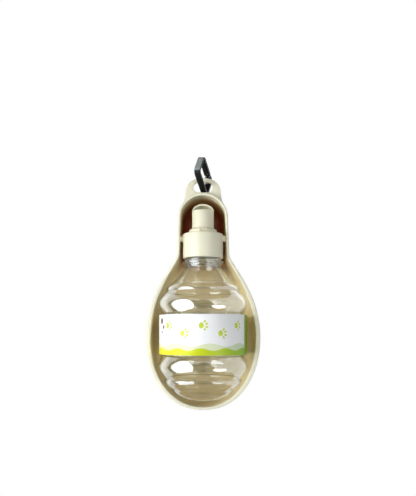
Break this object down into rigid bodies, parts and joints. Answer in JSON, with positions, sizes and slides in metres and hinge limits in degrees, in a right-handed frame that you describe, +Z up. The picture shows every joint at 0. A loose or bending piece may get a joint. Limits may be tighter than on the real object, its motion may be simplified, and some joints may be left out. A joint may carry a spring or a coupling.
{
  "type": "pet water bottle",
  "caption": "Hanging pet drinking bottle: a clear ribbed bottle with a hooded squeeze nozzle swings on its cap out of a cream gourd-shaped trough that serves as the bowl.",
  "frame": {"origin": "centre of the hang hole in the lug at the top of the trough, in the middle of the plate's front half", "axes": "+Z up along the trough as it hangs, towards the lug; -Y out of the trough's open front; +X to the right as seen from the front"},
  "size_m": [0.1052, 0.0866, 0.2315],
  "materials": {
    "cream_plastic": "smooth moulded",
    "clear_pet": "clear blow moulded",
    "label_film": "printed film",
    "silicone": "moulded silicone",
    "black_aluminium": "black anodised",
    "steel": "drawn wire"
  },
  "bodies": {
    "trough": {"trough": "cream_plastic"},
    "cap": {"screw_cap": "cream_plastic", "nozzle_o_ring": "silicone"},
    "nozzle": {"nozzle": "cream_plastic"},
    "washer": {"sealing_washer": "silicone"},
    "bottle": {"bottle": "clear_pet", "label": "label_film"},
    "carabiner": {"carabiner_body": "black_aluminium", "gate_pin": "steel"},
    "gate": {"carabiner_gate": "black_aluminium", "gate_spring": "steel"}
  },
  "joints": [
    {"name": "bottle_swing", "type": "hinge", "parent": "trough", "child": "cap", "pos_m": [0, 0, -0.048], "axis": [-1, 0, 0], "range_deg": [0, 120]},
    {"name": "nozzle_pull", "type": "slide", "parent": "cap", "child": "nozzle", "axis": [0, 0, 1], "range_m": [0, 0.004]},
    {"name": "thread_travel", "type": "slide", "parent": "cap", "child": "washer", "axis": [0, 0, -1], "range_m": [0, 0.0025]},
    {"name": "bottle_screw", "type": "hinge", "parent": "washer", "child": "bottle", "pos_m": [0, 0, -0.048], "axis": [0, 0, -1], "range_deg": [0, 360]},
    {"name": "carabiner_swing", "type": "hinge", "parent": "trough", "child": "carabiner", "pos_m": [0, 0.0002, 0.0063], "axis": [0.9408, -0.3227, -0.1036], "range_deg": [-10, 60]},
    {"name": "gate_open", "type": "hinge", "parent": "carabiner", "child": "gate", "pos_m": [0.00413, 0.0086, 0.01478], "axis": [0.9408, -0.3227, -0.1036], "range_deg": [0, 25], "stiffness_Nm_per_rad": 0.003, "springref_deg": -17.19}
  ],
  "couplings": [
    {"joint": "thread_travel", "follows": "bottle_screw", "m_per_rad": 0.00039789}
  ]
}
